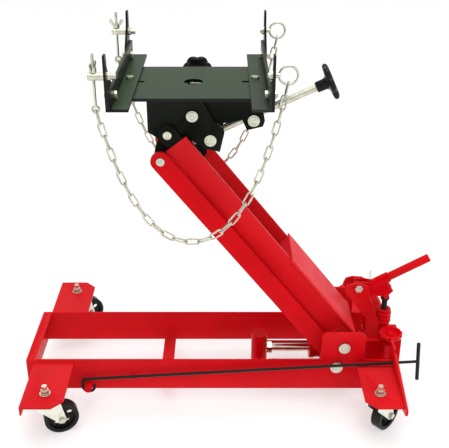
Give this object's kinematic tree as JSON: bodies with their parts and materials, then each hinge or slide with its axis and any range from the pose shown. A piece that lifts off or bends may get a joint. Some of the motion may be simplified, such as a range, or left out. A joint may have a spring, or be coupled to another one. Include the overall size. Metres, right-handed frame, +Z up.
{
  "type": "transmission jack",
  "caption": "Low hydraulic floor jack on swivel casters: a lift arm with level links carries a tilting saddle with angle rails and chains.",
  "frame": {"origin": "on the floor under the middle of the jack's overall box", "axes": "+X from the saddle end towards the pump, +Y across to the side without the tow rod, +Z up"},
  "size_m": [0.9756, 0.568, 0.888],
  "materials": {
    "red_paint": "gloss",
    "cover_red": "gloss",
    "black_paint": "satin",
    "zinc": "zinc plated",
    "fork_zinc": "zinc plated",
    "bright_steel": "polished",
    "black_plastic": "semi-gloss",
    "rod_black": "satin",
    "wheel_black": "matte"
  },
  "bodies": {
    "chassis": {"side_rail_left": "red_paint", "side_rail_right": "red_paint", "cross_members": "red_paint", "caster_plates": "red_paint", "chassis_pins": "zinc", "chassis_fasteners": "zinc", "ram_cylinder": "red_paint", "pump_block": "red_paint", "handle_bracket": "red_paint", "return_springs": "bright_steel"},
    "lift_arm": {"arm_side_plate_left": "red_paint", "arm_side_plate_right": "red_paint", "arm_web": "red_paint", "arm_cover": "cover_red", "arm_base_sleeve": "red_paint", "arm_tongues": "black_paint"},
    "level_links": {"level_link_left": "red_paint", "level_link_right": "red_paint"},
    "head": {"head_base": "black_paint", "head_pins": "zinc"},
    "tilt_nut": {"tilt_nut": "zinc"},
    "tilt_bracket": {"tilt_bracket": "black_paint", "tilt_pins": "zinc"},
    "tilt_collar": {"tilt_collar": "zinc"},
    "tilt_screw": {"tilt_screw": "zinc", "tilt_handwheel": "black_plastic"},
    "saddle": {"saddle_plate": "black_paint", "chain_near": "zinc", "chain_far": "zinc"},
    "roll_nut": {"roll_nut": "zinc"},
    "roll_collar": {"roll_collar": "zinc"},
    "roll_screw": {"roll_screw": "zinc", "roll_handwheel": "black_plastic"},
    "rail_front": {"saddle_rail_left": "black_paint", "chain_posts_left": "black_paint", "rail_bolts_left": "zinc", "hook_sleeves": "zinc"},
    "rail_rear": {"saddle_rail_right": "black_paint", "chain_posts_right": "black_paint", "rail_bolts_right": "zinc", "chain_rings": "zinc"},
    "wing_nut_near": {"wing_nut_near": "zinc"},
    "wing_nut_far": {"wing_nut_far": "zinc"},
    "chain_hook_near": {"chain_hook_near": "zinc"},
    "chain_hook_far": {"chain_hook_far": "zinc"},
    "ram": {"ram_rod": "bright_steel", "crosshead": "red_paint"},
    "pump_lever": {"handle_socket": "red_paint", "handle_tube": "red_paint"},
    "pump_plunger": {"pump_plunger": "rod_black"},
    "release_knob": {"release_knob": "red_paint"},
    "tow_rod": {"tow_rod": "rod_black"},
    "caster_front_left": {"caster_fork_front_left": "fork_zinc"},
    "wheel_front_left": {"caster_wheel_front_left": "wheel_black"},
    "caster_front_right": {"caster_fork_front_right": "fork_zinc"},
    "wheel_front_right": {"caster_wheel_front_right": "wheel_black"},
    "caster_rear_left": {"caster_fork_rear_left": "fork_zinc"},
    "wheel_rear_left": {"caster_wheel_rear_left": "wheel_black"},
    "caster_rear_right": {"caster_fork_rear_right": "fork_zinc"},
    "wheel_rear_right": {"caster_wheel_rear_right": "wheel_black"}
  },
  "joints": [
    {"name": "lift", "type": "hinge", "parent": "chassis", "child": "lift_arm", "pos_m": [0.2777, 0, 0.158], "axis": [0, 1, 0], "range_deg": [-56.7, 13]},
    {"name": "link_swing", "type": "hinge", "parent": "chassis", "child": "level_links", "pos_m": [0.2617, 0, 0.102], "axis": [0, 1, 0], "range_deg": [-56.8, 13.1]},
    {"name": "head_level", "type": "hinge", "parent": "lift_arm", "child": "head", "pos_m": [-0.1318, 0, 0.677], "axis": [0, 1, 0], "range_deg": [-13.1, 56.8]},
    {"name": "ram_stroke", "type": "slide", "parent": "chassis", "child": "ram", "axis": [1, 0, 0], "range_m": [-0.0165, 0.0716], "deforming": ["return_springs"]},
    {"name": "tilt", "type": "hinge", "parent": "head", "child": "tilt_bracket", "pos_m": [-0.0783, 0, 0.716], "axis": [0, 1, 0], "range_deg": [-10, 8]},
    {"name": "tilt_nut_turn", "type": "hinge", "parent": "head", "child": "tilt_nut", "pos_m": [-0.0394, 0, 0.659], "axis": [0, 1, 0], "range_deg": [-11.1, 8.9]},
    {"name": "tilt_collar_turn", "type": "hinge", "parent": "tilt_bracket", "child": "tilt_collar", "pos_m": [0.0546, 0, 0.7022], "axis": [0, 1, 0], "range_deg": [-1.1, 0.9]},
    {"name": "tilt_screw_spin", "type": "hinge", "parent": "tilt_collar", "child": "tilt_screw", "pos_m": [0.0546, 0, 0.7022], "axis": [0.9086, 0, 0.4176], "range_deg": [-860, 1075]},
    {"name": "roll", "type": "hinge", "parent": "tilt_bracket", "child": "saddle", "pos_m": [-0.0728, 0, 0.753], "axis": [1, 0, 0], "range_deg": [-6, 6]},
    {"name": "roll_nut_turn", "type": "hinge", "parent": "tilt_bracket", "child": "roll_nut", "pos_m": [-0.0728, 0.08, 0.71], "axis": [1, 0, 0], "range_deg": [-12.9, 12.9]},
    {"name": "roll_collar_turn", "type": "hinge", "parent": "saddle", "child": "roll_collar", "pos_m": [-0.0728, 0.122, 0.731], "axis": [1, 0, 0], "range_deg": [-6.9, 6.9]},
    {"name": "roll_screw_spin", "type": "hinge", "parent": "roll_collar", "child": "roll_screw", "pos_m": [-0.0728, 0.122, 0.731], "axis": [0, 0.8944, 0.4472], "range_deg": [-705, 705]},
    {"name": "front_rail_slide", "type": "slide", "parent": "saddle", "child": "rail_front", "axis": [1, 0, 0], "range_m": [-0.004, 0.024], "deforming": ["chain_near", "chain_far"]},
    {"name": "rear_rail_slide", "type": "slide", "parent": "saddle", "child": "rail_rear", "axis": [1, 0, 0], "range_m": [-0.023, 0.005]},
    {"name": "chain_hook_near_rise", "type": "slide", "parent": "rail_front", "child": "chain_hook_near", "axis": [0, 0, 1], "range_m": [0, 0.008]},
    {"name": "wing_nut_near_turn", "type": "hinge", "parent": "chain_hook_near", "child": "wing_nut_near", "pos_m": [-0.2598, -0.185, 0.843], "axis": [0, 0, -1], "range_deg": [0, 2880]},
    {"name": "chain_hook_far_rise", "type": "slide", "parent": "rail_front", "child": "chain_hook_far", "axis": [0, 0, 1], "range_m": [0, 0.008]},
    {"name": "wing_nut_far_turn", "type": "hinge", "parent": "chain_hook_far", "child": "wing_nut_far", "pos_m": [-0.2598, 0.185, 0.843], "axis": [0, 0, -1], "range_deg": [0, 2880]},
    {"name": "pump_stroke", "type": "hinge", "parent": "chassis", "child": "pump_lever", "pos_m": [0.3169, 0, 0.269], "axis": [0, 1, 0], "range_deg": [-12, 22]},
    {"name": "plunger_stroke", "type": "slide", "parent": "chassis", "child": "pump_plunger", "axis": [0, 0, 1], "range_m": [-0.0243, 0.0133]},
    {"name": "release_turn", "type": "hinge", "parent": "chassis", "child": "release_knob", "pos_m": [0.3992, -0.0465, 0.146], "axis": [0, 0, 1], "range_deg": [0, 180]},
    {"name": "tow_rod_lift", "type": "hinge", "parent": "chassis", "child": "tow_rod", "pos_m": [-0.3388, -0.121, 0.055], "axis": [0, -1, 0], "range_deg": [0, 50]},
    {"name": "swivel_front_left", "type": "hinge", "parent": "chassis", "child": "caster_front_left", "pos_m": [-0.4188, -0.222, 0.103], "axis": [0, 0, 1], "continuous": true},
    {"name": "roll_front_left", "type": "hinge", "parent": "caster_front_left", "child": "wheel_front_left", "pos_m": [-0.39061, -0.21174, 0.04], "axis": [-0.342, 0.9397, 0], "continuous": true},
    {"name": "swivel_front_right", "type": "hinge", "parent": "chassis", "child": "caster_front_right", "pos_m": [-0.4188, 0.222, 0.103], "axis": [0, 0, 1], "continuous": true},
    {"name": "roll_front_right", "type": "hinge", "parent": "caster_front_right", "child": "wheel_front_right", "pos_m": [-0.39422, 0.23921, 0.04], "axis": [-0.5736, 0.8192, 0], "continuous": true},
    {"name": "swivel_rear_left", "type": "hinge", "parent": "chassis", "child": "caster_rear_left", "pos_m": [0.3472, -0.222, 0.103], "axis": [0, 0, 1], "continuous": true},
    {"name": "roll_rear_left", "type": "hinge", "parent": "caster_rear_left", "child": "wheel_rear_left", "pos_m": [0.36841, -0.20079, 0.04], "axis": [-0.7071, 0.7071, 0], "continuous": true},
    {"name": "swivel_rear_right", "type": "hinge", "parent": "chassis", "child": "caster_rear_right", "pos_m": [0.3472, 0.222, 0.103], "axis": [0, 0, 1], "continuous": true},
    {"name": "roll_rear_right", "type": "hinge", "parent": "caster_rear_right", "child": "wheel_rear_right", "pos_m": [0.37178, 0.23921, 0.04], "axis": [-0.5736, 0.8192, 0], "continuous": true}
  ],
  "couplings": [
    {"joint": "link_swing", "follows": "lift", "ratio": 1},
    {"joint": "head_level", "follows": "lift", "ratio": -1},
    {"joint": "ram_stroke", "follows": "lift", "m_per_rad": -0.0722},
    {"joint": "tilt_nut_turn", "follows": "tilt", "ratio": 1.105},
    {"joint": "tilt_collar_turn", "follows": "tilt", "ratio": 0.105},
    {"joint": "tilt_screw_spin", "follows": "tilt", "ratio": -106.9},
    {"joint": "roll_nut_turn", "follows": "roll", "ratio": 2.13},
    {"joint": "roll_collar_turn", "follows": "roll", "ratio": 1.13},
    {"joint": "roll_screw_spin", "follows": "roll", "ratio": 116.6},
    {"joint": "plunger_stroke", "follows": "pump_stroke", "m_per_rad": -0.063}
  ]
}
